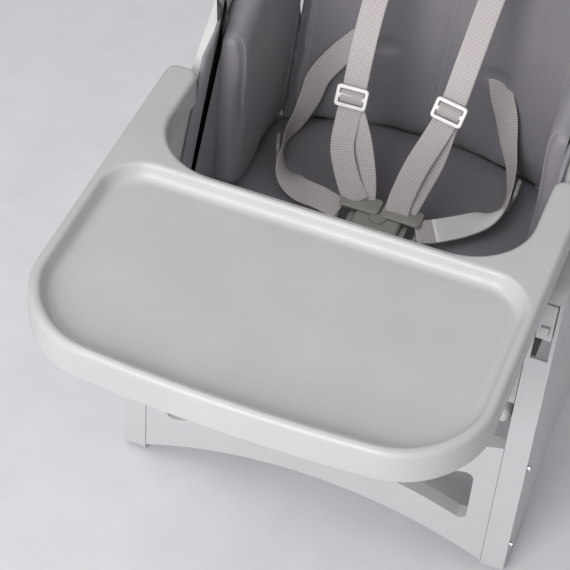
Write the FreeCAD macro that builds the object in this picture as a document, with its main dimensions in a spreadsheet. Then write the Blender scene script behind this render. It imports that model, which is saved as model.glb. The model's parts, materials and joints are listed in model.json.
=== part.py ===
"""Low convertible baby high chair: two moulded side frames, a front panel, a height-adjustable
seat with a reclining backrest, a five-point harness and a slide-on tray.

Construction frame, in millimetres: +X to the child's left, +Y towards the backrest, +Z up,
y = 0 on the front faces of the side frames, z = 0 on the floor.  Every sub-part is then moved
along Y by rear_shift, so that the origin lies on the floor under the middle of the chair.
The names say left and right as someone facing the chair sees them: "right" is at +X.
"""
import FreeCAD, Part
import math
import Sketcher
import os

doc = FreeCAD.newDocument("HighChair")
sheet = doc.addObject("Spreadsheet::Sheet", "Sizes")

SIZES = [
    ("rear_shift", 71.4, "moves the model so that the origin is under its middle"),
    # side frames
    ("frame_inner", 206.0, "half the clear width between the side frames"),
    ("frame_thick", 27.0, "width of the flange around each side frame"),
    ("frame_wall", 3.5, "wall of the side-frame moulding"),
    ("frame_top", 468.0, "top of the side frames"),
    ("frame_depth", 430.0, "front to back of the side frames"),
    ("frame_flat", 130.0, "length of the level top of a side frame"),
    ("frame_back_top", 330.0, "height of a side frame at its back"),
    ("foot_length", 92.0, "length of a foot along the floor"),
    ("foot_rise", 58.0, "height of the arch between the feet"),
    ("foot_slope", 36.0, "run of the arch from the foot to its top"),
    ("foot_corner", 14.0, "radius of the bottom corners"),
    ("frame_corner", 24.0, "radius of the top and arch corners"),
    ("shell_corner", 12.0, "radius of the shell's front corners"),
    ("screw_hole", 2.7, "radius of the screw holes in the side frames"),
    ("screw_bore", 2.55, "radius of the bores that hold the screws"),
    ("pad_height", 3.0, "thickness of the rubber foot pads"),
    ("pad_length", 46.0, "length of a foot pad"),
    ("pad_inset", 12.0, "distance of a front foot pad behind the front plane"),
    ("slot_low", 366.0, "bottom of the height slot in the front flange"),
    ("slot_high", 448.0, "top of the height slot"),
    ("slot_edge", 5.0, "flange left inboard of the slot"),
    ("slot_wide", 18.0, "width of the height slot"),
    # front panel
    ("panel_gap", 0.5, "gap between the panel and each side frame"),
    ("panel_depth", 17.0, "front to back of the panel"),
    ("panel_top_side", 217.0, "top of the panel at its sides"),
    ("panel_top_dip", 32.0, "how far the top edge dips in the middle"),
    ("arch_side", 18.0, "height of the arched lower edge at its sides"),
    ("arch_rise", 46.0, "rise of the arched lower edge"),
    ("window_half", 180.0, "half width of the window"),
    ("window_low", 76.0, "lower corner of the window"),
    ("window_low_rise", 38.0, "rise of the window's lower edge"),
    ("window_high", 163.0, "upper corner of the window"),
    ("window_high_dip", 31.0, "dip of the window's upper edge"),
    ("window_corner", 9.0, "radius of the window corners"),
    ("boss_radius", 6.0, "screw bosses of the panel"),
    ("boss_low", 52.0, "height of the lower screw boss"),
    ("boss_high", 188.0, "height of the upper screw boss"),
    ("boss_back", 11.0, "distance of the bosses behind the front plane"),
    # crossbars
    ("bar_radius", 12.0, "outer radius of the rear crossbars"),
    ("bar_wall", 1.5, "wall of the rear crossbars"),
    ("bar_back", 400.0, "distance of the crossbars behind the front plane"),
    ("bar_low", 90.0, "height of the lower crossbar"),
    ("bar_high", 215.0, "height of the upper crossbar"),
    ("plug_length", 22.0, "length of the end plugs"),
    ("screw_radius", 2.5, "shank radius of the frame screws"),
    ("screw_head", 5.0, "head radius of the frame screws"),
    ("screw_head_high", 3.0, "height of a screw head"),
    ("screw_length", 20.0, "shank length of the frame screws"),
    # seat
    ("seat_half", 203.0, "half width of the seat shell"),
    ("seat_wall", 10.0, "thickness of the shell's sides"),
    ("seat_low", 263.0, "underside of the seat pan"),
    ("pan_top", 276.0, "top of the seat pan"),
    ("seat_front", 18.0, "front edge of the seat pan"),
    ("seat_back", 330.0, "rear edge of the seat pan"),
    ("arm_front", -36.0, "front end of the armrests"),
    ("arm_end", 92.0, "where the armrest turns up into the wing"),
    ("arm_top", 510.0, "top of the armrests"),
    ("arm_low", 452.0, "underside of the armrest's front end"),
    ("wing_mid", 210.0, "rear end of the wing's slope"),
    ("wing_high", 604.0, "height at the end of the slope"),
    ("wing_top", 650.0, "top of the wing"),
    ("wing_back", 392.0, "rear edge of the shell's sides"),
    ("rail_thick", 13.0, "width of the tray rails"),
    ("rail_high", 14.0, "height of the tray rails"),
    ("rail_gap", 0.3, "gap between pieces that lie side by side"),
    ("base_rail_wide", 25.0, "width of the rails under the seat"),
    ("base_rail_low", 243.5, "underside of the rails under the seat"),
    ("base_rail_front", 9.0, "front end of the rails under the seat"),
    ("base_rail_corner", 8.0, "edge radius of the rails under the seat"),
    ("shoe_high", 49.0, "height of a guide shoe"),
    ("shoe_clear", 1.0, "clearance of a guide shoe in its slot"),
    ("shoe_proud", 1.5, "how far a guide shoe stands proud"),
    ("shoe_deep", 10.0, "depth of a guide shoe behind the flange"),
    ("catch_wide", 8.0, "width of a height catch"),
    ("catch_high", 10.0, "height of a height catch"),
    ("catch_level", 412.0, "height of the middle of the catches"),
    ("catch_travel", 3.0, "travel of a height catch"),
    # soft parts
    ("cushion_edge", 7.0, "rounding of the cushions' edges"),
    ("seat_pad_half", 189.0, "half width of the seat cushion"),
    ("seat_pad_top", 312.0, "top of the seat cushion"),
    ("seat_pad_front", 14.0, "front edge of the seat cushion"),
    ("seat_pad_back", 322.0, "rear of the seat cushion in the middle"),
    ("seat_pad_round", 40.0, "rounding of the cushion's rear edge"),
    ("side_pad_thick", 26.0, "thickness of the side cushions"),
    ("side_pad_front", 130.0, "front edge of the side cushions"),
    ("side_pad_back", 344.0, "rear edge of the side cushions"),
    ("side_pad_rim", 22.0, "the wing shows this far past the side cushion"),
    # backrest
    ("hinge_back", 338.0, "recline axis behind the front plane"),
    ("hinge_high", 292.0, "height of the recline axis"),
    ("back_tilt", 14.0, "backrest angle from upright, in degrees"),
    ("back_half", 161.0, "half width of the backrest shell"),
    ("back_high", 430.0, "height of the backrest above its axis"),
    ("back_thick", 14.0, "depth of the backrest shell"),
    ("back_wall", 3.5, "wall of the backrest shell"),
    ("back_corner", 60.0, "radius of the backrest's top corners"),
    ("back_pad_half", 163.0, "half width of the back cushion"),
    ("back_pad_thick", 18.0, "thickness of the back cushion in the middle"),
    ("back_pad_wrap", 46.0, "how far its sides stand forward of its middle"),
    ("back_pad_low", 24.0, "lower edge of the back cushion above the axis"),
    ("lug_radius", 11.0, "radius of the hinge lugs"),
    ("pin_radius", 5.0, "radius of the hinge pins"),
    ("pin_clear", 0.05, "radial clearance of the hinge pins"),
    ("plate_radius", 53.5, "radius of the toothed recline plates"),
    ("plate_thick", 5.0, "thickness of the recline plates"),
    ("lock_radius", 4.0, "radius of the recline lock bar"),
    ("lock_high", 55.0, "lock bar above the axis, along the backrest"),
    ("lock_back", 20.0, "lock bar behind the axis, square to the backrest"),
    ("lever_high", 345.0, "recline lever above the axis, along the backrest"),
    ("lever_wide", 92.0, "width of the recline lever"),
    ("lever_travel", 12.0, "travel of the recline lever"),
    # tray
    ("tray_half", 222.0, "half width of the tray"),
    ("tray_front", -313.0, "front edge of the tray"),
    ("tray_back", 87.0, "rear ends of the tray arms"),
    ("tray_bow", 14.0, "bow of the tray's front edge"),
    ("tray_top", 530.0, "height of the tray rim"),
    ("tray_high", 37.0, "height of the tray skirt"),
    ("tray_wall", 3.0, "wall of the tray moulding"),
    ("tray_corner", 92.0, "radius of the tray's front corners"),
    ("tray_edge", 5.0, "rounding of the rim"),
    ("tray_arm", 34.0, "width of a tray arm"),
    ("belly_front", -52.0, "front of the belly cut-out"),
    ("belly_corner", 68.0, "corner radius of the belly cut-out"),
    ("recess_half", 212.0, "half width of the recess at the rim"),
    ("recess_front", -303.5, "front edge of the recess"),
    ("recess_back", -61.0, "rear edge of the recess"),
    ("recess_bow", 12.0, "bow of the recess's front edge"),
    ("recess_deep", 16.0, "depth of the recess"),
    ("recess_run", 7.0, "how far the recess walls slope inwards"),
    ("recess_corner_front", 80.0, "front corner radius of the recess"),
    ("recess_corner_back", 42.0, "rear corner radius of the recess"),
    ("handle_wide", 110.0, "width of the tray release"),
    ("handle_travel", 8.0, "travel of the tray release"),
    # harness
    ("web_wide", 27.0, "width of the webbing"),
    ("web_thick", 1.6, "thickness of the webbing"),
    ("buckle_back", 145.0, "middle of the buckle behind the front plane"),
    ("buckle_high", 336.0, "height of the middle of the buckle"),
    ("buckle_wide", 52.0, "width of the buckle body"),
    ("buckle_long", 46.0, "length of the buckle body"),
    ("buckle_thick", 16.0, "thickness of the buckle body"),
    ("button_radius", 9.0, "radius of the release button"),
    ("button_travel", 3.0, "travel of the release button"),
    ("tongue_long", 21.0, "length of a tongue outside the buckle"),
    ("tongue_blade", 16.0, "length of a tongue's blade"),
    ("slider_wide", 36.0, "width of a webbing slider"),
    ("slider_high", 24.0, "height of a webbing slider"),
    ("slider_thick", 4.0, "thickness of a webbing slider"),
    ("slider_lift", 2.4, "clearance between a slider and its strap"),
    ("slider_bar", 4.0, "width of a slider's bars"),
]


class Dim:
    """A size: its value in millimetres, with the spreadsheet expression that gives it."""

    def __init__(self, value, text):
        self.value = value
        self.text = text

    def combine(self, other, sign, result):
        return Dim(result, "(%s %s %s)" % (self.text, sign, other.text))

    def __add__(self, other):
        other = as_dim(other)
        return self.combine(other, "+", self.value + other.value)

    def __sub__(self, other):
        other = as_dim(other)
        return self.combine(other, "-", self.value - other.value)

    def __rsub__(self, other):
        return as_dim(other) - self

    def __mul__(self, other):
        other = as_dim(other)
        return self.combine(other, "*", self.value * other.value)

    def __truediv__(self, other):
        other = as_dim(other)
        return self.combine(other, "/", self.value / other.value)

    def __neg__(self):
        return as_dim(0) - self

    __radd__ = __add__
    __rmul__ = __mul__


def as_dim(number):
    return number if isinstance(number, Dim) else Dim(float(number), "%g" % number)


def fill_sheet():
    sizes = {}
    for row, (alias, value, meaning) in enumerate(SIZES, start=1):
        sheet.set("A%d" % row, alias)
        sheet.set("B%d" % row, "%g" % value)
        sheet.set("C%d" % row, meaning)
        sheet.setAlias("B%d" % row, alias)
        sizes[alias] = Dim(value, "Sizes." + alias)
    doc.recompute()
    return sizes


D = fill_sheet()
SUBPARTS = []


def bind(thing, prop, size):
    thing.setExpression(prop, as_dim(size).text)


def bind_place(thing, x=0, y=0, z=0):
    bind(thing, "Placement.Base.x", x)
    bind(thing, "Placement.Base.y", y)
    bind(thing, "Placement.Base.z", z)


def keep(thing, label):
    """Names a sub-part and moves it with the rest of the chair to the origin."""
    thing.Label = label
    SUBPARTS.append(thing)
    return thing


def keep_shifted(thing, label):
    bind_place(thing, 0, -D["rear_shift"], 0)
    return keep(thing, label)


# ---------------------------------------------------------------- PartDesign helpers

def new_body(label, x=0, y=0, z=0, tilt=None):
    body = doc.addObject("PartDesign::Body", label + "_body")
    if tilt is not None:
        body.Placement.Rotation = FreeCAD.Rotation(FreeCAD.Vector(1, 0, 0), -tilt.value)
    bind_place(body, x, y - D["rear_shift"], z)
    return keep(body, label)


def origin_plane(body, role):
    for feature in body.Origin.OriginFeatures:
        if feature.Role == role:
            return feature
    raise ValueError(role)


def new_sketch(body, role, offset=0):
    sketch = body.newObject("Sketcher::SketchObject", "Sketch")
    sketch.AttachmentSupport = [(origin_plane(body, role), "")]
    sketch.MapMode = "FlatFace"
    bind(sketch, "AttachmentOffset.Base.z", offset)
    return sketch


def fix_point(sketch, geometry, corner, x, y):
    for kind, size in (("DistanceX", x), ("DistanceY", y)):
        number = sketch.addConstraint(Sketcher.Constraint(kind, -1, 1, geometry, corner, size.value))
        bind(sketch, "Constraints[%d]" % number, size)


def fix_radius(sketch, geometry, radius):
    number = sketch.addConstraint(Sketcher.Constraint("Radius", geometry, radius.value))
    bind(sketch, "Constraints[%d]" % number, radius)


def arc_radius(spot, after):
    """The radius of the arc between two corners, from its chord and its sag."""
    across = after[0] - spot[0]
    up = after[1] - spot[1]
    sag = spot[2]
    radius = ((across * across + up * up) / 4 + sag * sag) / (sag * 2)
    return radius if radius.value > 0 else -radius


def outline(body, role, corners, offset=0):
    """A closed sketch.  A corner is (x, y) or (x, y, sag): with a sag, the edge that starts there
    is an arc that stands out to the right of its direction by that much."""
    sketch = new_sketch(body, role, offset)
    spots = [[as_dim(size) for size in corner] for corner in corners]
    ends = []
    for number, spot in enumerate(spots):
        after = spots[(number + 1) % len(spots)]
        start = FreeCAD.Vector(spot[0].value, spot[1].value, 0)
        stop = FreeCAD.Vector(after[0].value, after[1].value, 0)
        if len(spot) == 2:
            sketch.addGeometry(Part.LineSegment(start, stop), False)
            ends.append((1, 2))
            continue
        along = stop - start
        aside = FreeCAD.Vector(along.y, -along.x, 0).normalize() * spot[2].value
        arc = Part.Arc(start, (start + stop) / 2 + aside, stop)
        geometry = sketch.addGeometry(arc, False)
        forward = sketch.getPoint(geometry, 1).distanceToPoint(start) < 0.01
        ends.append((1, 2) if forward else (2, 1))
    for number, spot in enumerate(spots):
        after = (number + 1) % len(spots)
        joint = Sketcher.Constraint("Coincident", number, ends[number][1], after, ends[after][0])
        sketch.addConstraint(joint)
        fix_point(sketch, number, ends[number][0], spot[0], spot[1])
    for number, spot in enumerate(spots):
        if len(spot) == 3:
            fix_radius(sketch, number, arc_radius(spot, spots[(number + 1) % len(spots)]))
    return sketch


def circles(body, role, spots, radius, offset=0):
    sketch = new_sketch(body, role, offset)
    for x, y in spots:
        x = as_dim(x)
        y = as_dim(y)
        ring = Part.Circle(FreeCAD.Vector(x.value, y.value, 0), FreeCAD.Vector(0, 0, 1), radius.value)
        geometry = sketch.addGeometry(ring, False)
        fix_point(sketch, geometry, 3, x, y)
        fix_radius(sketch, geometry, radius)
    return sketch


def rectangle(x_low, x_high, y_low, y_high):
    return [(x_low, y_low), (x_high, y_low), (x_high, y_high), (x_low, y_high)]


def pad(body, sketch, length, both=False, backwards=False):
    feature = body.newObject("PartDesign::Pad", "Pad")
    feature.Profile = sketch
    bind(feature, "Length", length)
    feature.Midplane = both
    feature.Reversed = backwards
    doc.recompute()
    return feature


def pocket(body, sketch, length, both=False, backwards=False):
    before = body.Shape.Volume
    feature = body.newObject("PartDesign::Pocket", "Pocket")
    feature.Profile = sketch
    bind(feature, "Length", length)
    feature.Midplane = both
    feature.Reversed = backwards
    doc.recompute()
    if body.Shape.Volume > before - 1.0:
        raise RuntimeError("a pocket in %s cuts nothing" % body.Label)
    return feature


def edges_where(feature, test):
    return ["Edge%d" % (n + 1) for n, edge in enumerate(feature.Shape.Edges) if test(edge)]


def round_edges(body, radius, test):
    feature = body.newObject("PartDesign::Fillet", "Fillet")
    base = body.Group[-2] if body.Group[-1] is feature else body.Group[-1]
    feature.Base = (base, edges_where(base, test))
    bind(feature, "Radius", radius)
    doc.recompute()
    return feature


def along(axis):
    """A test for straight edges that run along an axis."""
    def test(edge):
        if len(edge.Vertexes) != 2 or edge.Curve.TypeId != "Part::GeomLine":
            return False
        return abs(edge.tangentAt(edge.FirstParameter).dot(axis)) > 0.999
    return test


def near(axis, spots, reach=1.0):
    """A test for edges along an axis that pass near one of the spots, given across that axis."""
    straight = along(axis)

    def test(edge):
        middle = edge.CenterOfMass
        flat = (middle.y, middle.z) if axis.x else (middle.x, middle.y) if axis.z else (middle.x, middle.z)
        close = any(math.dist(flat, (as_dim(a).value, as_dim(b).value)) < reach for a, b in spots)
        return straight(edge) and close
    return test


X_AXIS = FreeCAD.Vector(1, 0, 0)
Y_AXIS = FreeCAD.Vector(0, 1, 0)
Z_AXIS = FreeCAD.Vector(0, 0, 1)


# ---------------------------------------------------------------- Part helpers

def block(x, y, z):
    """A box between the low and high sizes of each axis."""
    box = doc.addObject("Part::Box", "Block")
    for prop, (low, high) in zip(("Length", "Width", "Height"), (x, y, z)):
        bind(box, prop, as_dim(high) - low)
    bind_place(box, x[0], y[0], z[0])
    return box


TURNS = {"x": FreeCAD.Rotation(Y_AXIS, 90), "y": FreeCAD.Rotation(X_AXIS, -90), "z": FreeCAD.Rotation()}


def rod(axis, radius, length, x, y, z):
    """A cylinder that starts at (x, y, z) and runs along +axis."""
    cylinder = doc.addObject("Part::Cylinder", "Rod")
    bind(cylinder, "Radius", radius)
    bind(cylinder, "Height", length)
    cylinder.Placement.Rotation = TURNS[axis]
    bind_place(cylinder, x, y, z)
    return cylinder


def cut(base, tool):
    feature = doc.addObject("Part::Cut", "Cut")
    feature.Base = base
    feature.Tool = tool
    return feature


def fuse(*shapes):
    feature = doc.addObject("Part::MultiFuse", "Fuse")
    feature.Shapes = list(shapes)
    return feature


def group(*shapes):
    feature = doc.addObject("Part::Compound", "Group")
    feature.Links = list(shapes)
    return feature


def softened(base, radius):
    """Rounds every edge of a block."""
    doc.recompute()
    feature = doc.addObject("Part::Fillet", "Softened")
    feature.Base = base
    feature.Edges = [(n + 1, radius.value, radius.value) for n in range(len(base.Shape.Edges))]
    return feature


def mirrored(source, label):
    """The same piece for the other side of the chair."""
    feature = doc.addObject("Part::Mirroring", label + "_mirror")
    feature.Source = source
    feature.Normal = X_AXIS
    feature.Base = FreeCAD.Vector(0, 0, 0)
    return keep(feature, label)


# ---------------------------------------------------------------- frame

def side_frames():
    wall = D["frame_wall"]
    depth = D["frame_depth"]
    floor = D["pad_height"]
    rise = D["foot_rise"]
    foot = D["foot_length"]
    slope = D["foot_slope"]
    corners = [
        (0, floor), (foot, floor), (foot + slope, rise), (depth - foot - slope, rise),
        (depth - foot, floor), (depth, floor), (depth, D["frame_back_top"]),
        (D["frame_flat"], D["frame_top"]), (0, D["frame_top"]),
    ]
    body = new_body("side_frame_right", x=D["frame_inner"])
    pad(body, outline(body, "YZ_Plane", corners), D["frame_thick"])
    round_edges(body, D["foot_corner"], near(X_AXIS, [(0, floor), (depth, floor)]))
    others = [corners[1], corners[2], corners[3], corners[4], corners[6], corners[7], corners[8]]
    round_edges(body, D["frame_corner"], near(X_AXIS, others))
    hollow = body.newObject("PartDesign::Thickness", "Hollow")
    base = body.Group[-2]
    inner = [n for n, face in enumerate(base.Shape.Faces)
             if abs(face.CenterOfMass.x) < 0.01 and face.normalAt(0, 0).x < -0.9]
    hollow.Base = (base, ["Face%d" % (inner[0] + 1)])
    bind(hollow, "Value", wall)
    hollow.Mode = 0
    hollow.Join = 1
    hollow.Reversed = True
    doc.recompute()
    edge = D["slot_edge"]
    slot = rectangle(edge, edge + D["slot_wide"], D["slot_low"], D["slot_high"])
    pocket(body, outline(body, "XZ_Plane", slot), wall + 2)
    spots = [(D["boss_back"], D["boss_low"]), (D["boss_back"], D["boss_high"]),
             (D["bar_back"], D["bar_low"]), (D["bar_back"], D["bar_high"])]
    holes = circles(body, "YZ_Plane", spots, D["screw_hole"])
    pocket(body, holes, D["frame_thick"] + 1, backwards=True)
    mirrored(body, "side_frame_left")


def foot_pads():
    wide = D["frame_thick"] - 2 * D["frame_wall"]
    low_x = D["frame_inner"] + D["frame_wall"]
    starts = (D["pad_inset"], D["frame_depth"] - D["pad_inset"] - D["pad_length"])
    pads = []
    for start in starts:
        for x in (low_x, -low_x - wide):
            pads.append(block((x, x + wide), (start, start + D["pad_length"]), (0, D["pad_height"])))
    keep_shifted(group(*pads), "foot_pads")


def front_panel():
    half = D["frame_inner"] - D["panel_gap"]
    body = new_body("front_panel", y=D["panel_gap"])
    shape = [
        (half, D["arch_side"]), (half, D["panel_top_side"], -D["panel_top_dip"]),
        (-half, D["panel_top_side"]), (-half, D["arch_side"], -D["arch_rise"]),
    ]
    pad(body, outline(body, "XZ_Plane", shape), D["panel_depth"], backwards=True)
    side = D["window_half"]
    window = [
        (side, D["window_low"]), (side, D["window_high"], -D["window_high_dip"]),
        (-side, D["window_high"]), (-side, D["window_low"], -D["window_low_rise"]),
    ]
    pocket(body, outline(body, "XZ_Plane", window), D["panel_depth"] + 1)
    spots = [(x, z) for x in (-side, side) for z in (D["window_low"], D["window_high"])]
    round_edges(body, D["window_corner"], near(Y_AXIS, spots))
    back = D["boss_back"] - D["panel_gap"]
    reach = D["frame_inner"] + D["frame_thick"] - D["frame_wall"] - D["rail_gap"]
    spots = [(back, D["boss_low"]), (back, D["boss_high"])]
    bosses = circles(body, "YZ_Plane", spots, D["boss_radius"], offset=half - 8)
    pad(body, bosses, reach - half + 8)
    bosses = circles(body, "YZ_Plane", spots, D["boss_radius"], offset=8 - half)
    pad(body, bosses, reach - half + 8, backwards=True)
    bores = circles(body, "YZ_Plane", spots, D["screw_bore"], offset=reach)
    pocket(body, bores, D["screw_length"])
    bores = circles(body, "YZ_Plane", spots, D["screw_bore"], offset=-reach)
    pocket(body, bores, D["screw_length"], backwards=True)


def crossbars():
    reach = D["frame_inner"] + D["frame_thick"] - D["frame_wall"] - D["rail_gap"]
    inner = D["bar_radius"] - D["bar_wall"]
    back = D["bar_back"]
    plugs = []
    for label, high in (("rear_crossbar_lower", D["bar_low"]), ("rear_crossbar_upper", D["bar_high"])):
        tube = cut(rod("x", D["bar_radius"], reach * 2, -reach, back, high),
                   rod("x", inner, reach * 2 + 2, -reach - 1, back, high))
        keep_shifted(tube, label)
        for start in (-reach, reach - D["plug_length"]):
            plugs.append(cut(rod("x", inner - 0.05, D["plug_length"], start, back, high),
                             rod("x", D["screw_bore"], D["plug_length"] + 2, start - 1, back, high)))
    keep_shifted(group(*plugs), "crossbar_plugs")


def frame_screws():
    outer = D["frame_inner"] + D["frame_thick"]
    length = D["screw_length"]
    screws = []
    for y, z in ((D["boss_back"], D["boss_low"]), (D["boss_back"], D["boss_high"]),
                 (D["bar_back"], D["bar_low"]), (D["bar_back"], D["bar_high"])):
        screws.append(fuse(rod("x", D["screw_radius"], length, outer - length, y, z),
                           rod("x", D["screw_head"], D["screw_head_high"], outer, y, z)))
        screws.append(fuse(rod("x", D["screw_radius"], length, -outer, y, z),
                           rod("x", D["screw_head"], D["screw_head_high"],
                               -outer - D["screw_head_high"], y, z)))
    keep_shifted(group(*screws), "frame_screws")


# ---------------------------------------------------------------- seat

def seat_shell():
    half = D["seat_half"]
    body = new_body("seat_shell")
    corners = [
        (D["seat_front"], D["seat_low"]), (D["seat_back"] + 30, D["seat_low"]),
        (D["wing_back"], D["hinge_high"] + 20), (D["wing_back"] + 20, D["wing_high"]),
        (D["wing_back"] - 40, D["wing_top"]), (D["wing_mid"], D["wing_high"]),
        (D["arm_end"], D["arm_top"]), (D["arm_front"], D["arm_top"]),
        (D["arm_front"], D["arm_low"]), (D["seat_front"], D["arm_low"] - 60),
    ]
    pad(body, outline(body, "YZ_Plane", corners), half * 2, both=True)
    round_edges(body, D["frame_corner"], near(X_AXIS, corners[1:7]))
    round_edges(body, D["shell_corner"], near(X_AXIS, corners[7:] + corners[:1]))
    inside = half - D["seat_wall"]
    far = D["wing_back"] + 60
    pocket(body, outline(body, "XY_Plane", rectangle(-inside, inside, -60, far), offset=D["pan_top"]),
           400, backwards=True)
    pocket(body, outline(body, "XY_Plane", rectangle(-inside, inside, D["seat_back"], far),
                         offset=D["seat_low"] - 1), 400, backwards=True)
    pivot = circles(body, "YZ_Plane", [(D["hinge_back"], D["hinge_high"])],
                    D["pin_radius"] + D["pin_clear"])
    pocket(body, pivot, half * 2 + 2, both=True)


def seat_rails():
    half = D["seat_half"]
    gap = D["rail_gap"]
    top = D["seat_low"] - gap
    rail = softened(block((half - D["base_rail_wide"], half),
                          (D["base_rail_front"], D["seat_back"] - 20), (D["base_rail_low"], top)),
                    D["base_rail_corner"])
    right = keep_shifted(rail, "seat_base_rail_right")
    mirrored(right, "seat_base_rail_left")
    rail = softened(block((half + gap, half + gap + D["rail_thick"]), (D["arm_front"], D["arm_end"] - 4),
                          (D["arm_top"] - D["rail_high"], D["arm_top"])), D["slider_thick"] / 2)
    right = keep_shifted(rail, "tray_rail_right")
    mirrored(right, "tray_rail_left")


def guide_shoes():
    clear = D["shoe_clear"]
    wall = D["frame_wall"]
    slot_in = D["frame_inner"] + D["slot_edge"] + clear
    slot_out = slot_in + D["slot_wide"] - 2 * clear
    high = D["slot_high"] - clear
    low = high - D["shoe_high"]
    nose = block((slot_in, slot_out), (-D["shoe_proud"], wall + 1), (low, high))
    foot = block((D["seat_half"] + D["rail_gap"], slot_out),
                 (wall + 0.4, wall + D["shoe_deep"]), (low, high))
    middle = (slot_in + slot_out) / 2
    wide = D["catch_wide"] / 2
    tall = D["catch_high"] / 2
    level = D["catch_level"]
    seat = block((middle - wide - 0.3, middle + wide + 0.3), (-10, wall + D["catch_travel"] + 2),
                 (level - tall - 0.3, level + tall + 0.3))
    right = keep_shifted(cut(fuse(nose, foot), seat), "guide_shoe_right")
    mirrored(right, "guide_shoe_left")
    catch = block((middle - wide, middle + wide), (-D["shoe_proud"] - D["catch_travel"], wall + 1),
                  (level - tall, level + tall))
    right = keep_shifted(softened(catch, D["web_thick"] / 2), "height_catch_right")
    mirrored(right, "height_catch_left")


def seat_cushion():
    half = D["seat_pad_half"]
    body = new_body("seat_cushion")
    corner = D["seat_pad_back"] - D["seat_pad_round"]
    shape = [
        (-half, D["seat_pad_front"]), (half, D["seat_pad_front"]),
        (half, corner, D["seat_pad_round"]), (-half, corner),
    ]
    base = D["pan_top"] + D["rail_gap"]
    pad(body, outline(body, "XY_Plane", shape, offset=base), D["seat_pad_top"] - base)
    round_edges(body, D["cushion_edge"], lambda edge: edge.BoundBox.ZMin > D["seat_pad_top"].value - 0.1)


def side_cushions():
    rim = D["side_pad_rim"]
    low = D["seat_pad_top"] + 1
    front = D["side_pad_front"]
    inside = D["seat_half"] - D["seat_wall"] - D["rail_gap"]
    body = new_body("side_cushion_right", x=inside - D["side_pad_thick"])
    shape = [
        (front + rim, low), (D["side_pad_back"] - rim, low), (D["side_pad_back"], D["lever_high"]),
        (D["side_pad_back"], D["wing_top"] - rim * 2), (D["wing_mid"], D["wing_high"] - rim),
        (front + 4, D["arm_top"] + rim), (front, D["arm_low"] - 40), (front, low + rim),
    ]
    pad(body, outline(body, "YZ_Plane", shape), D["side_pad_thick"])
    round_edges(body, D["cushion_edge"], lambda edge: edge.BoundBox.XMax < 0.1)
    mirrored(body, "side_cushion_left")


# ---------------------------------------------------------------- backrest

def back_body(label):
    """A body whose X axis is the recline axis and whose Z axis runs up the backrest."""
    return new_body(label, y=D["hinge_back"], z=D["hinge_high"], tilt=D["back_tilt"])


def back_shell():
    half = D["back_half"]
    body = back_body("back_shell")
    deep = D["back_thick"]
    shape = rectangle(-half, half, -D["lug_radius"] + 2, D["back_high"])
    pad(body, outline(body, "XZ_Plane", shape), deep, backwards=True)
    round_edges(body, D["back_corner"], near(Y_AXIS, [(-half, D["back_high"]), (half, D["back_high"])]))
    wall = D["back_wall"]
    hollow = rectangle(wall - half, half - wall, D["lug_radius"] + 6, D["back_high"] - D["back_corner"])
    pocket(body, outline(body, "XZ_Plane", hollow, offset=-deep), deep - wall, backwards=True)
    reach = D["seat_half"] - D["seat_wall"] - D["rail_gap"]
    lugs = circles(body, "YZ_Plane", [(0, 0)], D["lug_radius"], offset=-reach)
    pad(body, lugs, reach * 2)
    bore = circles(body, "YZ_Plane", [(0, 0)], D["pin_radius"], offset=-reach)
    pocket(body, bore, 40, backwards=True)
    bore = circles(body, "YZ_Plane", [(0, 0)], D["pin_radius"], offset=reach)
    pocket(body, bore, 40)


def hinge_pins():
    reach = D["seat_half"] - 0.5
    start = reach - 48
    pins = [rod("x", D["pin_radius"], 48, x, D["hinge_back"], D["hinge_high"]) for x in (start, -reach)]
    keep_shifted(group(*pins), "recline_pins")


def back_cushion():
    """The cushion curves around the child: thin in the middle and deep at its sides."""
    half = D["back_pad_half"]
    top = D["back_high"] - 4
    body = back_body("back_cushion")
    deep = D["back_pad_thick"] + D["back_pad_wrap"]
    shape = [
        (-half, -D["rail_gap"]), (-half, -deep, -D["back_pad_wrap"]), (half, -deep),
        (half, -D["rail_gap"]),
    ]
    low = D["back_pad_low"]
    pad(body, outline(body, "XY_Plane", shape, offset=low), top - low)
    corners = [(-half, top), (half, top)]
    round_edges(body, D["back_corner"] - 4, near(Y_AXIS, corners))


def recline_lock():
    high = D["lever_high"]
    behind = D["back_thick"] + D["rail_gap"]
    half = D["lever_wide"] / 2
    body = back_body("recline_lever")
    shape = rectangle(-half, half, high - 12, high + 12)
    pad(body, outline(body, "XZ_Plane", shape, offset=-behind - 4), 12, backwards=True)
    round_edges(body, as_dim(5), near(Y_AXIS, [(x, high + z) for x in (-half, half) for z in (-12, 12)]))
    body = back_body("lever_guide")
    top = high + 12 + D["lever_travel"] + 1
    outer = rectangle(-half - 5, half + 5, high - 18, top + 5)
    pad(body, outline(body, "XZ_Plane", outer, offset=-behind), 14, backwards=True)
    inner = rectangle(-half - 0.5, half + 0.5, high - 12.5, top)
    pocket(body, outline(body, "XZ_Plane", inner, offset=-behind - 3.5), 20, backwards=False)
    rods = circles(body, "XY_Plane", [(x, behind + 7) for x in (-half / 2, half / 2)],
                   D["lock_radius"] / 2 + 0.3, offset=high - 19)
    pocket(body, rods, 10, backwards=True)
    body = back_body("lock_rods")
    spots = [(x, behind + 7) for x in (-half / 2, half / 2)]
    low = D["lock_high"] + D["lock_radius"] + 0.1
    pad(body, circles(body, "XY_Plane", spots, D["lock_radius"] / 2, offset=low), high - 12.1 - low)
    body = back_body("lock_bar")
    reach = D["seat_half"] - D["seat_wall"] - 2
    bar = circles(body, "YZ_Plane", [(D["lock_back"], D["lock_high"])], D["lock_radius"], offset=-reach)
    pad(body, bar, reach * 2)


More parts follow.
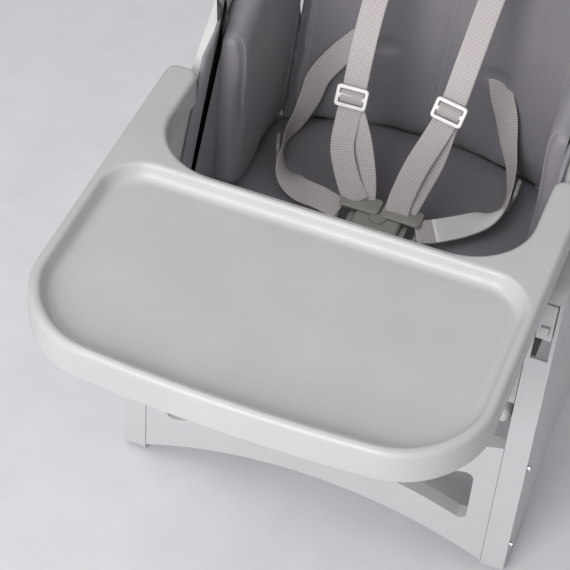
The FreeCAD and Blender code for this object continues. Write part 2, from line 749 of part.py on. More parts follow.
def recline_plates():
    inside = D["seat_half"] - D["seat_wall"] - D["rail_gap"]
    thick = D["plate_thick"]
    disc = rod("x", D["plate_radius"], thick, inside - thick, D["hinge_back"], D["hinge_high"])
    keep_box = block((inside - thick - 1, inside + 1), (D["side_pad_back"] + 8, D["wing_back"]),
                     (D["pan_top"] + 4, D["lever_high"]))
    plate = doc.addObject("Part::Common", "Plate")
    plate.Base = disc
    plate.Tool = keep_box
    teeth = []
    for degrees in (10, 24, 38, 52):
        turn = math.radians(degrees)
        reach = D["plate_radius"] + 1
        teeth.append(rod("x", D["lock_radius"] - 1, thick + 4, inside - thick - 2,
                         D["hinge_back"] + reach * math.cos(turn),
                         D["hinge_high"] + reach * math.sin(turn)))
    right = keep_shifted(cut(plate, fuse(*teeth)), "recline_plate_right")
    mirrored(right, "recline_plate_left")


# ---------------------------------------------------------------- tray

def tray():
    half = D["tray_half"]
    arm = half - D["tray_arm"]
    front = D["tray_front"] + D["tray_bow"]
    body = new_body("tray")
    shape = [
        (-half, front, D["tray_bow"]), (half, front), (half, D["tray_back"]), (arm, D["tray_back"]),
        (arm, D["belly_front"]), (-arm, D["belly_front"]), (-arm, D["tray_back"]), (-half, D["tray_back"]),
    ]
    base = D["tray_top"] - D["tray_high"]
    pad(body, outline(body, "XY_Plane", shape, offset=base), D["tray_high"])
    round_edges(body, D["tray_corner"], near(Z_AXIS, [(-half, front), (half, front)]))
    belly = [(-arm, D["belly_front"]), (arm, D["belly_front"])]
    round_edges(body, D["belly_corner"], near(Z_AXIS, belly))
    ends = [(x, D["tray_back"]) for x in (-half, half, -arm, arm)]
    round_edges(body, D["tray_arm"] / 3, near(Z_AXIS, ends))
    rim = D["tray_top"].value
    round_edges(body, D["tray_edge"], lambda edge: edge.BoundBox.ZMin > rim - 0.1)
    recess(body)
    hollow(body, base)


def recess_outline(body, inset, level):
    half = D["recess_half"] - inset
    front = D["recess_front"] + D["recess_bow"] + inset
    corner = D["recess_corner_front"] - inset
    rear = D["recess_corner_back"] - inset
    back = D["recess_back"] - inset
    quarter = 1 - math.sqrt(0.5)
    shape = [
        (corner - half, front, D["recess_bow"]), (half - corner, front, corner * quarter),
        (half, front + corner), (half, back - rear, rear * quarter), (half - rear, back),
        (rear - half, back, rear * quarter), (-half, back - rear),
        (-half, front + corner, corner * quarter),
    ]
    return outline(body, "XY_Plane", shape, offset=level)


def recess(body):
    floor = D["tray_top"] - D["recess_deep"]
    feature = body.newObject("PartDesign::SubtractiveLoft", "Recess")
    feature.Profile = recess_outline(body, as_dim(0), D["tray_top"])
    feature.Sections = [recess_outline(body, D["recess_run"], floor)]
    doc.recompute()


def hollow(body, base):
    wall = D["tray_wall"]
    half = D["tray_half"] - wall
    arm = D["tray_half"] - D["tray_arm"] + wall
    front = D["tray_front"] + D["tray_bow"] + wall
    corner = D["tray_corner"] - wall
    quarter = 1 - math.sqrt(0.5)
    belly = D["belly_front"] - wall
    bend = D["belly_corner"] + wall
    floor = D["tray_top"] - D["recess_deep"] - wall
    shape = [
        (corner - half, front, D["tray_bow"] - 3), (half - corner, front, corner * quarter),
        (half, front + corner), (half, D["tray_back"] + 5), (arm, D["tray_back"] + 5),
        (arm, belly + bend, -bend * quarter), (arm - bend, belly), (bend - arm, belly, -bend * quarter),
        (-arm, belly + bend), (-arm, D["tray_back"] + 5), (-half, D["tray_back"] + 5),
        (-half, front + corner, corner * quarter),
    ]
    pocket(body, outline(body, "XY_Plane", shape, offset=base), floor - base, backwards=True)
    for low, high in ((arm, half), (-half, -arm)):
        channel = rectangle(low, high, D["arm_front"] - 8, D["tray_back"] - D["tray_edge"])
        pocket(body, outline(body, "XY_Plane", channel, offset=floor - 1),
               D["recess_deep"] + 1, backwards=True)


def tray_release():
    wide = D["handle_wide"] / 2
    inner = D["tray_front"] + D["tray_wall"]
    low = D["tray_top"] - D["tray_high"] + 2
    back = inner + D["handle_travel"] + 6
    grip = block((-wide, wide), (back, back + 10), (low, low + 12))
    keep_shifted(softened(grip, D["slider_thick"] / 2), "tray_release_handle")
    reach = D["belly_front"] - 26
    side = D["tray_half"] - D["tray_arm"] - 40
    links = [block((x - 4, x + 4), (back + 10.1, reach), (low + 4, low + 7)) for x in (wide - 8, 8 - wide)]
    links.append(block((-side, side), (reach + 0.1, reach + 8), (low + 4, low + 7)))
    keep_shifted(group(*links), "tray_release_links")
    middle = D["seat_half"] + D["rail_thick"] / 2 - 1
    above = D["arm_top"] + 0.5
    latch = block((middle - 6, middle + 6), (D["seat_front"], D["seat_front"] + 28), (above, above + 8))
    right = keep_shifted(softened(latch, D["web_thick"] / 2), "tray_latch_right")
    mirrored(right, "tray_latch_left")


# ---------------------------------------------------------------- harness

# Paths of the straps: points, each with the way that the strap's flat side looks there.
UPWARDS = (0, -0.3, 1)
FORWARDS = (0, -1, 0.4)
BACK_SLOT = (0, -1, 0.7)
SHOULDER_PATHS = {
    "right": [
        ((16, 160, 346), UPWARDS), ((17, 173, 363), FORWARDS), ((24, 188, 392), FORWARDS),
        ((35, 208, 422), FORWARDS), ((43, 226, 448), FORWARDS), ((48, 254, 493), FORWARDS),
        ((52, 294, 541), BACK_SLOT), ((56, 341, 586), BACK_SLOT), ((57, 389, 626), BACK_SLOT),
    ],
    "left": [
        ((-28, 160, 346), UPWARDS), ((-46, 173, 360), FORWARDS), ((-63, 190, 380), FORWARDS),
        ((-64.2, 203, 397), FORWARDS), ((-65, 225, 430), FORWARDS), ((-67, 252, 480), FORWARDS),
        ((-67, 286, 530), BACK_SLOT), ((-62, 337, 583), BACK_SLOT), ((-57, 389, 626), BACK_SLOT),
    ],
}
LAP_PATHS = {
    "right": [
        ((50, 147, 343), UPWARDS), ((64, 158, 343), (-0.1, -0.4, 0.9)),
        ((92, 186, 333), (-0.3, -0.6, 0.75)), ((114, 216, 335), (-0.7, -0.4, 0.5)),
        ((118, 250, 336), (-0.97, -0.1, 0.2)), ((110, 284, 342), (-0.9, -0.3, 0.3)),
        ((98, 302, 362), (-0.6, -0.7, 0.4)), ((88, 314, 388), (-0.2, -0.9, 0.4)),
        ((70, 330, 408), FORWARDS),
    ],
    "left": [
        ((-50, 147, 343), UPWARDS), ((-68, 152, 344), (0.05, -0.35, 0.95)),
        ((-98, 162, 333), (0.3, -0.6, 0.75)), ((-121, 182, 335), (0.7, -0.4, 0.5)),
        ((-135, 211, 336), (0.95, 0.31, 0.05)), ((-141, 240, 336), (0.95, 0.31, 0.05)),
        ((-136, 264, 342), (0.9, -0.3, 0.3)), ((-131, 284, 360), (0.6, -0.7, 0.4)),
        ((-126, 296, 384), (0.3, -0.9, 0.4)), ((-108, 313, 410), FORWARDS),
        ((-92, 326, 424), FORWARDS),
    ],
}
SLIDER_POINT = 4
CROTCH_PATH = [((0, 159, 313), (0, -1, 0)), ((0, 157, 327), (0, -1, 0))]


def buckle():
    wide = D["buckle_wide"] / 2
    long = D["buckle_long"] / 2
    thick = D["buckle_thick"] / 2
    y = D["buckle_back"]
    z = D["buckle_high"]
    radius = D["button_radius"]
    travel = D["button_travel"]
    housing = softened(block((-wide, wide), (y - long, y + long), (z - thick, z + thick)),
                       D["slider_thick"])
    well = rod("z", radius + 0.3, thick * 2, 0, y, z)
    blade = D["tongue_blade"]
    mouths = [block((low, high), (y - 12.4, y + 12.4), (z - 2.9, z + 0.5))
              for low, high in ((wide - blade - 0.5, wide + 5), (-wide - 5, blade + 0.5 - wide))]
    keep_shifted(cut(housing, fuse(well, *mouths)), "buckle_body")
    button = rod("z", radius, thick - 3, 0, y, z + travel + 1.5)
    keep_shifted(group(button), "buckle_button")
    end = wide + D["tongue_long"]
    loop_in = wide + 7
    plate = block((wide + 0.5, end), (y - 19, y + 19), (z - 3.6, z + 1.2))
    eye = block((loop_in, end - 4), (y - 14.5, y + 14.5), (z - 10, z + 10))
    tongue = block((wide - blade, wide + 1), (y - 12, y + 12), (z - 2.5, z + 0.1))
    right = keep_shifted(cut(fuse(plate, tongue), eye), "buckle_tongue_right")
    mirrored(right, "buckle_tongue_left")


def strap_frame(path, number):
    """A point of a strap's path, with the strap's directions across, along and out of its face."""
    middle = FreeCAD.Vector(*path[number][0])
    before = FreeCAD.Vector(*path[max(number - 1, 0)][0])
    after = FreeCAD.Vector(*path[min(number + 1, len(path) - 1)][0])
    along_strap = (after - before).normalize()
    across = along_strap.cross(FreeCAD.Vector(*path[number][1])).normalize()
    return middle, across, along_strap, across.cross(along_strap).normalize()


def ribbon(label, path):
    """A flat strap along a path."""
    rings = []
    for number in range(len(path)):
        middle, across, along_strap, out = strap_frame(path, number)
        across = across * (D["web_wide"].value / 2)
        out = out * (D["web_thick"].value / 2)
        corners = [middle - across - out, middle + across - out,
                   middle + across + out, middle - across + out]
        rings.append(Part.makePolygon(corners + corners[:1]))
    strap = doc.addObject("Part::Feature", label)
    strap.Shape = Part.makeLoft(rings, True, True)
    strap.Placement.Base = FreeCAD.Vector(0, -D["rear_shift"].value, 0)
    return keep(strap, label)


def straps():
    for side in ("right", "left"):
        ribbon("shoulder_strap_" + side, SHOULDER_PATHS[side])
        ribbon("lap_strap_" + side, LAP_PATHS[side])
    ribbon("crotch_strap", CROTCH_PATH)


def slider(label, path, face):
    """A ladder-lock slider: a frame with a middle bar, lying just clear of its strap on the
    strap's front (face 1) or back (face -1)."""
    wide = D["slider_wide"] / 2
    tall = D["slider_high"] / 2
    bar = D["slider_bar"]
    middle, across, along_strap, out = strap_frame(path, SLIDER_POINT)
    spot = middle + out * face * (D["web_thick"] / 2 + D["slider_lift"]).value
    body = doc.addObject("PartDesign::Body", label + "_body")
    body.Placement.Rotation = FreeCAD.Rotation(-across * face, along_strap, out * face, "ZYX")
    bind_place(body, spot.x, spot.y - D["rear_shift"], spot.z)
    keep(body, label)
    outer = rectangle(-wide, wide, -tall, tall)
    pad(body, outline(body, "XY_Plane", outer), D["slider_thick"])
    round_edges(body, bar, near(Z_AXIS, [(x, z) for x in (-wide, wide) for z in (-tall, tall)]))
    for low, high in ((bar - tall, -bar / 2), (bar / 2, tall - bar)):
        opening = rectangle(bar - wide, wide - bar, low, high)
        pocket(body, outline(body, "XY_Plane", opening), D["slider_thick"] + 1, backwards=True)


def sliders():
    """Sliders lie on the shoulder straps, and adjusters on the outside of the lap straps."""
    for side in ("right", "left"):
        slider("shoulder_slider_" + side, SHOULDER_PATHS[side], 1)
        slider("lap_adjuster_" + side, LAP_PATHS[side], -1)


def check_and_write():
    doc.recompute()
    for thing in doc.Objects:
        if "Invalid" in thing.State or "Error" in thing.State:
            raise RuntimeError("%s (%s) failed: %s" % (thing.Name, thing.Label, thing.State))
    for thing in SUBPARTS:
        if thing.Shape.isNull() or not thing.Shape.isValid():
            raise RuntimeError("%s has no valid shape" % thing.Label)
    os.makedirs("parts", exist_ok=True)
    for thing in SUBPARTS:
        thing.Shape.exportStep("parts/%s.step" % thing.Label)
        box = thing.Shape.BoundBox
        print("%-24s x %7.1f %7.1f  y %7.1f %7.1f  z %7.1f %7.1f  solids %d" % (
            thing.Label, box.XMin, box.XMax, box.YMin, box.YMax, box.ZMin, box.ZMax,
            len(thing.Shape.Solids)))


side_frames()
foot_pads()
front_panel()
crossbars()
frame_screws()
seat_shell()
seat_rails()
guide_shoes()
seat_cushion()
side_cushions()
back_shell()
hinge_pins()
back_cushion()
recline_lock()
recline_plates()
tray()
tray_release()
buckle()
straps()
sliders()
check_and_write()
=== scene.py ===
"""Low convertible baby high chair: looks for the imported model."""
import json
import math

import bmesh
import bpy
from mathutils import Matrix, Vector
from mathutils.bvhtree import BVHTree


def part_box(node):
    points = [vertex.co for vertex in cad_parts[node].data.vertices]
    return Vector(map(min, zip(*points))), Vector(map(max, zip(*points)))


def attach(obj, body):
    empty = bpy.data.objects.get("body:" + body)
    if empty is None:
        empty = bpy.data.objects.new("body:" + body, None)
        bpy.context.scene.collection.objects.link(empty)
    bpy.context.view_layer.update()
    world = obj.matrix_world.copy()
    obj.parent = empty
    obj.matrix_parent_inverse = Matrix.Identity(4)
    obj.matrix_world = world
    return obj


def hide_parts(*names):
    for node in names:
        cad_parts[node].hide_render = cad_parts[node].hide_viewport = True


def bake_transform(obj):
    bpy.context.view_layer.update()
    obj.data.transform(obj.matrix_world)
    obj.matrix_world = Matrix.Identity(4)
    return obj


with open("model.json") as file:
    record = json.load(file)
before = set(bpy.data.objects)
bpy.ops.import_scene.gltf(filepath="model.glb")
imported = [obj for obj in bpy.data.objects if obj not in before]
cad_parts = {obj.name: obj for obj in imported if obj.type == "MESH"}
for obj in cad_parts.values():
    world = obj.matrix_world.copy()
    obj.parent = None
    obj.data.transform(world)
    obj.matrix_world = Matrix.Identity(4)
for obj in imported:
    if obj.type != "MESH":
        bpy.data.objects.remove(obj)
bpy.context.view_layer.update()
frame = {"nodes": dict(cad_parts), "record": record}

NODES = frame["nodes"]
BOX = {node: [Vector(corner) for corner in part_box(node)] for node in NODES}
FRONT = BOX["side_frame_right"][0].y
HINGE = (BOX["recline_pins"][0] + BOX["recline_pins"][1]) / 2
TILT = math.radians(14)


def mm(x, y, z):
    """A point from millimetres, y counted from the side frames' front faces."""
    return Vector((x / 1000, FRONT + y / 1000, z / 1000))


def back(x, up, out):
    """A point of the backrest: across, up from the hinge along it, and out of its front, in mm."""
    y = HINGE.y + (up * math.sin(TILT) - out * math.cos(TILT)) / 1000
    return Vector((x / 1000, y, HINGE.z + (up * math.cos(TILT) + out * math.sin(TILT)) / 1000))


def smooth_step(value):
    value = min(max(value, 0.0), 1.0)
    return value * value * (3 - 2 * value)


# ---------------------------------------------------------------- materials

def shader(name, rough, specular=0.5):
    material = bpy.data.materials.new(name)
    material.use_nodes = True
    tree = material.node_tree
    surface = tree.nodes["Principled BSDF"]
    surface.inputs["Roughness"].default_value = rough
    surface.inputs["Specular IOR Level"].default_value = specular
    return material, tree, surface


def add(tree, kind, **inputs):
    node = tree.nodes.new(kind)
    for key, value in inputs.items():
        node.inputs[key].default_value = value
    return node


def object_noise(tree, scale, detail=2.0):
    place = tree.nodes.new("ShaderNodeTexCoord")
    noise = add(tree, "ShaderNodeTexNoise", Scale=scale, Detail=detail)
    tree.links.new(place.outputs["Object"], noise.inputs["Vector"])
    return noise.outputs["Fac"]


def ramp(tree, factor, low, high, start=0.3, stop=0.7):
    """A colour that runs from low to high as the factor runs from start to stop."""
    colours = tree.nodes.new("ShaderNodeValToRGB")
    colours.color_ramp.elements[0].position = start
    colours.color_ramp.elements[1].position = stop
    colours.color_ramp.elements[0].color = (*low, 1)
    colours.color_ramp.elements[1].color = (*high, 1)
    tree.links.new(factor, colours.inputs["Fac"])
    return colours.outputs["Color"]


def bumped(tree, surface, height, strength, distance, under=None):
    bump = add(tree, "ShaderNodeBump", Strength=strength, Distance=distance)
    tree.links.new(height, bump.inputs["Height"])
    if under is not None:
        tree.links.new(under, bump.inputs["Normal"])
    tree.links.new(bump.outputs["Normal"], surface.inputs["Normal"])
    return bump.outputs["Normal"]


def spread(tree, factor, low, high):
    """The factor from 0.3 to 0.7, spread over low to high."""
    span = add(tree, "ShaderNodeMapRange")
    for key, value in (("From Min", 0.3), ("From Max", 0.7), ("To Min", low), ("To Max", high)):
        span.inputs[key].default_value = value
    tree.links.new(factor, span.inputs["Value"])
    return span.outputs["Result"]


def plastic(name, colour, rough=0.42, grain=0.12, specular=0.45):
    """Moulded plastic: a fine spark-eroded grain, with slight changes of tone and gloss."""
    material, tree, surface = shader(name, rough, specular)
    cloud = object_noise(tree, 14.0)
    low = [c * 0.97 for c in colour]
    high = [min(c * 1.025, 1.0) for c in colour]
    tree.links.new(ramp(tree, cloud, low, high), surface.inputs["Base Color"])
    tree.links.new(spread(tree, object_noise(tree, 90.0), rough - 0.05, rough + 0.05),
                   surface.inputs["Roughness"])
    bumped(tree, surface, object_noise(tree, 1600.0, 3.0), grain, 0.0002)
    return material


def leatherette(name, colour):
    """Coated fabric: small pebbled grain with soft creases, and a dull sheen."""
    material, tree, surface = shader(name, 0.46, 0.42)
    cloud = object_noise(tree, 9.0, 3.0)
    low = [c * 0.93 for c in colour]
    high = [c * 1.06 for c in colour]
    tree.links.new(ramp(tree, cloud, low, high), surface.inputs["Base Color"])
    place = tree.nodes.new("ShaderNodeTexCoord")
    cells = add(tree, "ShaderNodeTexVoronoi", Scale=850.0)
    cells.feature = "DISTANCE_TO_EDGE"
    tree.links.new(place.outputs["Object"], cells.inputs["Vector"])
    pebbles = bumped(tree, surface, cells.outputs["Distance"], 0.25, 0.0003)
    bumped(tree, surface, object_noise(tree, 45.0, 4.0), 0.10, 0.002, pebbles)
    tree.links.new(spread(tree, object_noise(tree, 30.0), 0.42, 0.54), surface.inputs["Roughness"])
    surface.inputs["Sheen Weight"].default_value = 0.08
    surface.inputs["Sheen Roughness"].default_value = 0.5
    return material


def woven(name, colour, dark):
    """Webbing: warp ribs along it (U runs across) crossed by close weft rows (V runs along)."""
    material, tree, surface = shader(name, 0.8, 0.2)
    place = tree.nodes.new("ShaderNodeUVMap")
    heights = []
    for direction, scale in (("X", 3.6), ("Y", 3.2)):
        wave = add(tree, "ShaderNodeTexWave", Scale=scale, Distortion=0.6, Detail=1.0)
        wave.inputs["Detail Scale"].default_value = 6.0
        wave.bands_direction = direction
        tree.links.new(place.outputs["UV"], wave.inputs["Vector"])
        heights.append(wave.outputs["Fac"])
    weave = add(tree, "ShaderNodeMath")
    weave.operation = "MULTIPLY"
    tree.links.new(heights[0], weave.inputs[0])
    tree.links.new(heights[1], weave.inputs[1])
    tree.links.new(ramp(tree, weave.outputs["Value"], dark, colour, 0.0, 0.55),
                   surface.inputs["Base Color"])
    bumped(tree, surface, weave.outputs["Value"], 0.5, 0.0006)
    surface.inputs["Sheen Weight"].default_value = 0.15
    return material


def metal(name, colour, rough, metallic):
    material, tree, surface = shader(name, rough)
    surface.inputs["Metallic"].default_value = metallic
    tree.links.new(ramp(tree, object_noise(tree, 40.0), [c * 0.94 for c in colour], colour),
                   surface.inputs["Base Color"])
    tree.links.new(spread(tree, object_noise(tree, 200.0), rough - 0.06, rough + 0.08),
                   surface.inputs["Roughness"])
    bumped(tree, surface, object_noise(tree, 900.0), 0.08, 0.0001)
    return material


MATERIALS = {
    "frame_plastic": plastic("frame_plastic", (0.53, 0.52, 0.53), 0.45),
    "shell_plastic": plastic("shell_plastic", (0.54, 0.535, 0.525), 0.4),
    "tray_plastic": plastic("tray_plastic", (0.47, 0.463, 0.465), 0.34, 0.05),
    "latch_plastic": plastic("latch_plastic", (0.55, 0.545, 0.55), 0.4),
    "buckle_plastic": plastic("buckle_plastic", (0.29, 0.28, 0.25), 0.36),
    "slider_plastic": plastic("slider_plastic", (0.80, 0.78, 0.77), 0.3, 0.04),
    "leatherette": leatherette("leatherette", (0.215, 0.202, 0.222)),
    "webbing": woven("webbing", (0.60, 0.55, 0.555), (0.38, 0.35, 0.345)),
    "rubber": plastic("rubber", (0.22, 0.22, 0.225), 0.75, 0.3),
    "steel": metal("steel", (0.62, 0.62, 0.63), 0.32, 1.0),
    "frame_metal": metal("frame_metal", (0.62, 0.615, 0.62), 0.4, 0.0),
    "stitching": plastic("stitching", (0.44, 0.42, 0.44), 0.7, 0.3),
    "label_cloth": plastic("label_cloth", (0.74, 0.73, 0.71), 0.7, 0.4),
    "floor": plastic("floor", (0.70, 0.695, 0.72), 0.9, 0.05, 0.1),
}


def finish_piece(piece, body, slot):
    piece.data.materials.clear()
    piece.data.materials.append(MATERIALS[slot])
    if body is not None:
        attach(piece, body)
    return piece


def piece_from(name, mesh_tool):
    mesh = bpy.data.meshes.new(name)
    bmesh.ops.recalc_face_normals(mesh_tool, faces=mesh_tool.faces)
    mesh_tool.to_mesh(mesh)
    mesh_tool.free()
    for face in mesh.polygons:
        face.use_smooth = True
    piece = bpy.data.objects.new(name, mesh)
    bpy.context.scene.collection.objects.link(piece)
    return piece


# ---------------------------------------------------------------- hard pieces from CAD

SOFTENED = {
    "seat_shell": 3.5, "side_frame_right": 1.6, "side_frame_left": 1.6, "front_panel": 1.8,
    "tray_rail_right": 1.0, "tray_rail_left": 1.0, "guide_shoe_right": 0.8, "guide_shoe_left": 0.8,
    "back_shell": 2.5, "recline_lever": 1.5, "lever_guide": 1.2, "recline_plate_right": 0.6,
    "recline_plate_left": 0.6, "tray_release_handle": 0.6, "tray_release_links": 0.6,
    "foot_pads": 0.8, "shoulder_slider_right": 1.1, "shoulder_slider_left": 1.1,
    "lap_adjuster_right": 1.1, "lap_adjuster_left": 1.1, "buckle_body": 1.0,
    "buckle_button": 0.8, "buckle_tongue_right": 0.8, "buckle_tongue_left": 0.8,
    "frame_screws": 0.5, "rear_crossbar_lower": 0.3, "rear_crossbar_upper": 0.3,
}


def soften_nodes():
    """Every hard edge of a moulding gets its small mould radius."""
    slots = {part["node"]: part["material_slot"] for part in frame["record"]["subparts"]}
    for node, piece in NODES.items():
        piece.data.materials.clear()
        piece.data.materials.append(MATERIALS[slots[node]])
        if node not in SOFTENED:
            continue
        weld = piece.modifiers.new("weld", "WELD")
        weld.merge_threshold = 0.00002
        bevel = piece.modifiers.new("mould_radius", "BEVEL")
        bevel.width = SOFTENED[node] / 1000
        bevel.segments = 3
        bevel.limit_method = "ANGLE"
        bevel.angle_limit = math.radians(35)
        bevel.harden_normals = False
        weighted = piece.modifiers.new("normals", "WEIGHTED_NORMAL")
        weighted.keep_sharp = False


# ---------------------------------------------------------------- tray

CORNER_STEPS = 14
EDGE_STEPS = 16


def rounded_loop(corners, inset, bow=0.0):
    """A closed loop round a plan shape.  A corner is (x, y, radius) in millimetres, listed
    anticlockwise; the loop runs inset inside it, and its front, the first edge, bows by bow."""
    count = len(corners)
    points = []
    for number, (x, y, radius) in enumerate(corners):
        here = Vector((x, y))
        before = (here - Vector(corners[number - 1][:2])).normalized()
        after = (Vector(corners[(number + 1) % count][:2]) - here).normalized()
        turn = before.x * after.y - before.y * after.x
        left = Vector((-before.y, before.x)) + Vector((-after.y, after.x))
        corner_centre = here + left * radius * (1 if turn > 0 else -1)
        reach = radius - inset if turn > 0 else radius + inset
        start = Vector((before.y, -before.x)) if turn > 0 else Vector((-before.y, before.x))
        for step in range(CORNER_STEPS + 1):
            angle = math.pi / 2 * step / CORNER_STEPS * (1 if turn > 0 else -1)
            spin = Matrix.Rotation(angle, 2)
            points.append(corner_centre + spin @ start * reach)
        follow = points[-1]
        goal = edge_goal(corners, number, inset)
        for step in range(1, EDGE_STEPS):
            part = step / EDGE_STEPS
            points.append(follow.lerp(goal, part))
    half, front, radius = corners[1]
    for point in points:
        ahead = smooth_step((front + radius - point.y) / radius)
        point.y -= bow * max(1 - (point.x / half) ** 2, 0.0) * ahead
    return points


def edge_goal(corners, number, inset):
    """Where the edge that starts at a corner meets the arc of the next corner."""
    x, y, radius = corners[(number + 1) % len(corners)]
    here = Vector((x, y))
    ahead = (here - Vector(corners[number][:2])).normalized()
    return here - ahead * radius + Vector((-ahead.y, ahead.x)) * inset


def tray_outline(inset):
    corners = [
        (-222, -299, 82), (222, -299, 82), (222, 87, 12), (188, 87, 12),
        (188, -52, 68), (-188, -52, 68), (-188, 87, 12), (-222, 87, 12),
    ]
    return rounded_loop(corners, inset, 14.0)


def recess_outline(inset):
    corners = [(-212, -291, 76), (212, -291, 76), (212, -61, 42), (-212, -61, 42)]
    return rounded_loop(corners, inset, 12.5)


def loop_verts(mesh, points, height):
    return [mesh.verts.new(mm(point.x, point.y, height)) for point in points]


def bridge(mesh, first, second):
    count = len(first)
    for number in range(count):
        after = (number + 1) % count
        mesh.faces.new((first[number], first[after], second[after], second[number]))


def fill_between(mesh, *loops):
    edges = []
    for loop in loops:
        for number, vert in enumerate(loop):
            pair = (vert, loop[(number + 1) % len(loop)])
            edges.append(mesh.edges.get(pair) or mesh.edges.new(pair))
    bmesh.ops.triangle_fill(mesh, edges=edges, use_beauty=True)


def tray():
    top = BOX["tray"][1][2] * 1000
    low = BOX["tray"][0][2] * 1000
    rim = 6.0
    skirt = [(0.6, low), (0.0, low + 0.8), (0.0, low + 12), (0.0, top - rim - 6)]
    for step in range(9):
        angle = math.pi / 2 * step / 8
        skirt.append((rim * (1 - math.cos(angle)), top - rim + rim * math.sin(angle)))
    wall = [(-3.4, 0.0), (-1.9, -0.25), (-0.5, -1.0), (0.6, -2.3), (1.5, -4.2), (2.8, -7.4),
            (4.0, -10.0), (5.0, -11.8), (6.6, -13.7), (8.8, -15.1), (11.6, -15.85), (15.0, -16.0)]
    mesh = bmesh.new()
    rings = [loop_verts(mesh, tray_outline(inset), height) for inset, height in skirt]
    for first, second in zip(rings, rings[1:]):
        bridge(mesh, first, second)
    bowl = [loop_verts(mesh, recess_outline(inset), top + drop) for inset, drop in wall]
    for first, second in zip(bowl, bowl[1:]):
        bridge(mesh, first, second)
    fill_between(mesh, rings[-1], bowl[0])
    fill_between(mesh, bowl[-1])
    under = [loop_verts(mesh, tray_outline(3.0), height) for height in (low, top - 3.0)]
    bridge(mesh, rings[0], under[0])
    bridge(mesh, under[0], under[1])
    below = [loop_verts(mesh, recess_outline(inset), top + drop)
             for inset, drop in ((-3.0, -3.0), (4.0, -19.0))]
    bridge(mesh, below[0], below[1])
    fill_between(mesh, under[1], below[0])
    fill_between(mesh, below[1])
    piece = piece_from("tray_moulding", mesh)
    weighted = piece.modifiers.new("normals", "WEIGHTED_NORMAL")
    weighted.weight = 80
    weighted.keep_sharp = False
    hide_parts("tray")
    return finish_piece(piece, "tray", "tray_plastic")


# ---------------------------------------------------------------- cushions

def copy_of(node, name):
    piece = bpy.data.objects.new(name, NODES[node].data.copy())
    bpy.context.scene.collection.objects.link(piece)
    return piece


def apply_modifiers(piece):
    shape = bpy.data.meshes.new_from_object(
        piece.evaluated_get(bpy.context.evaluated_depsgraph_get()))
    piece.modifiers.clear()
    piece.data = shape


def remeshed(piece, voxel):
    weld = piece.modifiers.new("weld", "WELD")
    weld.merge_threshold = 0.0001
    remesh = piece.modifiers.new("remesh", "REMESH")
    remesh.mode = "VOXEL"
    remesh.voxel_size = voxel
    apply_modifiers(piece)


def puffed(piece, cap, pressure=4.0):
    """Blows the cushion up a little with cloth under pressure; no point moves more than cap."""
    rest = [vert.co.copy() for vert in piece.data.vertices]
    cloth = piece.modifiers.new("puff", "CLOTH")
    cloth.settings.use_pressure = True
    cloth.settings.uniform_pressure_force = pressure
    cloth.settings.quality = 5
    cloth.settings.effector_weights.gravity = 0.0
    cloth.collision_settings.use_collision = False
    scene = bpy.context.scene
    for number in range(1, 21):
        scene.frame_set(number)
    graph = bpy.context.evaluated_depsgraph_get()
    moved = [vert.co.copy() for vert in piece.evaluated_get(graph).data.vertices]
    piece.modifiers.clear()
    scene.frame_set(1)
    for vert, old, new in zip(piece.data.vertices, rest, moved):
        step = new - old
        length = step.length
        vert.co = old + step * (cap / length if length > cap else 1.0)


def eased(piece, rounds):
    """Takes the steps out of a remeshed surface."""
    mesh = bmesh.new()
    mesh.from_mesh(piece.data)
    for _ in range(rounds):
        bmesh.ops.smooth_vert(mesh, verts=mesh.verts, factor=0.5, use_axis_x=True,
                              use_axis_y=True, use_axis_z=True)
    mesh.to_mesh(piece.data)
    mesh.free()


def cushion(node, name, body, cap, shape, voxel=0.005):
    """A padded piece from its CAD solid: remeshed, blown up, then shaped point by point."""
    piece = copy_of(node, name)
    remeshed(piece, voxel)
    eased(piece, 4)
    puffed(piece, cap)
    eased(piece, 2)
    subdivide = piece.modifiers.new("subdivide", "SUBSURF")
    subdivide.levels = subdivide.render_levels = 1
    apply_modifiers(piece)
    piece.data.update()
    normals = [vert.normal.copy() for vert in piece.data.vertices]
    for vert, normal in zip(piece.data.vertices, normals):
        vert.co = shape(vert.co.copy(), normal)
    for face in piece.data.polygons:
        face.use_smooth = True
    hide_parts(node)
    return finish_piece(piece, body, "leatherette")


def groove(distance, width, depth):
    """How far a sewn seam draws the cover in, at a distance from it."""
    return depth * math.exp(-(distance / width) ** 2)


def seat_shape(point, normal):
    """Crowned on top, flat underneath, with one soft channel across in front of the harness."""
    x = point.x * 1000
    y = (point.y - FRONT) * 1000
    low, high = BOX["seat_cushion"]
    up = max(normal.z, 0.0)
    crown = 0.0035 * math.cos(min(abs(x) / 165, 1.0) * math.pi / 2)
    point.z += up * (crown - groove(y - 96, 5.0, 0.003))
    point.z = max(point.z, low[2])
    point.x = math.copysign(min(abs(point.x) * 1.03, high.x + 0.0005), point.x)
    point.y += 0.014 * smooth_step((y - 262) / 50)
    return point


def side_shape(point, normal):
    """Fuller low down than at the top, with the seam of its front flap drawn in."""
    high = BOX["side_cushion_right"][1]
    sign = 1 if point.x > 0 else -1
    inward = max(-normal.x * sign, 0.0)
    y = (point.y - FRONT) * 1000
    pull = groove(y - flap_line(point.z * 1000), 3.5, 0.0022) * smooth_step((point.z - 0.40) / 0.05)
    point.x += sign * inward * pull
    point.x = sign * min(abs(point.x), high[0])
    return point


def flap_line(z):
    """The front flap's seam on a side cushion: its distance behind the front plane at height z."""
    return 146 + 0.06 * (520 - z)


def back_coordinates(point):
    offset = point - HINGE
    up = offset.y * math.sin(TILT) + offset.z * math.cos(TILT)
    out = -offset.y * math.cos(TILT) + offset.z * math.sin(TILT)
    return point.x * 1000, up * 1000, out * 1000


